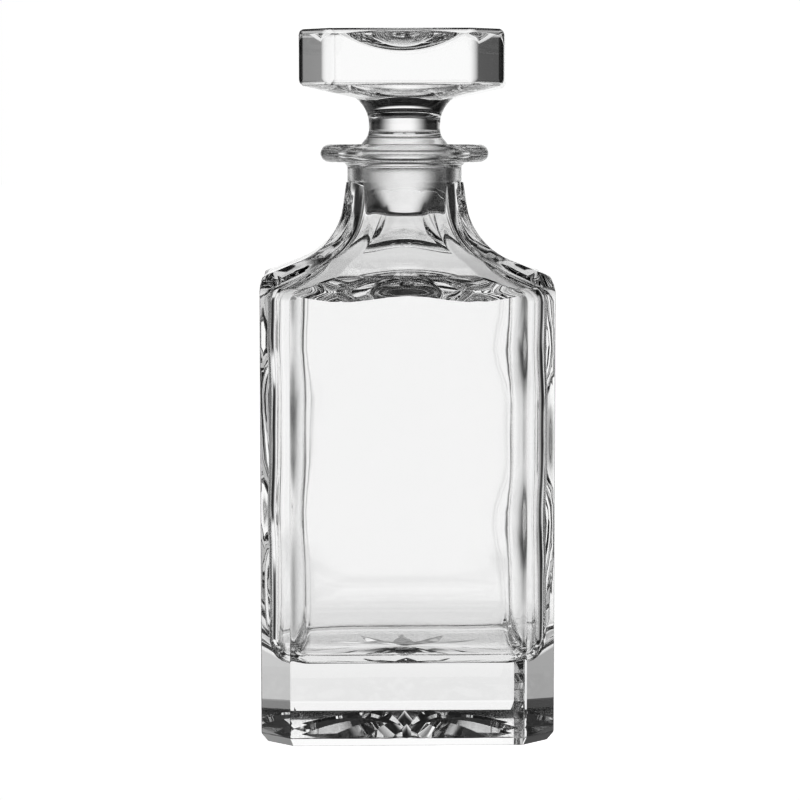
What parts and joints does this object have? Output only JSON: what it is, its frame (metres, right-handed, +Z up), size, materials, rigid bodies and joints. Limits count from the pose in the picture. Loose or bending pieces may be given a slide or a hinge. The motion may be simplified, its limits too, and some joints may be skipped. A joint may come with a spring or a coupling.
{
  "type": "square crystal decanter",
  "caption": "Square clear crystal decanter with narrow corner facets, a thick star-cut base, a round lip ring and a square-headed ground-glass stopper that lifts out.",
  "frame": {"origin": "middle of the base, at the height of the surface that the decanter stands on", "axes": "+Z up along the middle of the neck, -Y towards the front flat side, +X to the right of someone facing that side"},
  "size_m": [0.094, 0.094, 0.2278],
  "materials": {
    "body_crystal": "clear fire-polished crystal",
    "stopper_crystal": "clear polished crystal with a ground plug"
  },
  "bodies": {
    "decanter": {"decanter_body": "body_crystal"},
    "stopper": {"stopper": "stopper_crystal"}
  },
  "joints": [
    {"name": "stopper_lift", "type": "slide", "parent": "decanter", "child": "stopper", "axis": [0, 0, 1], "range_m": [0, 0.06]}
  ]
}
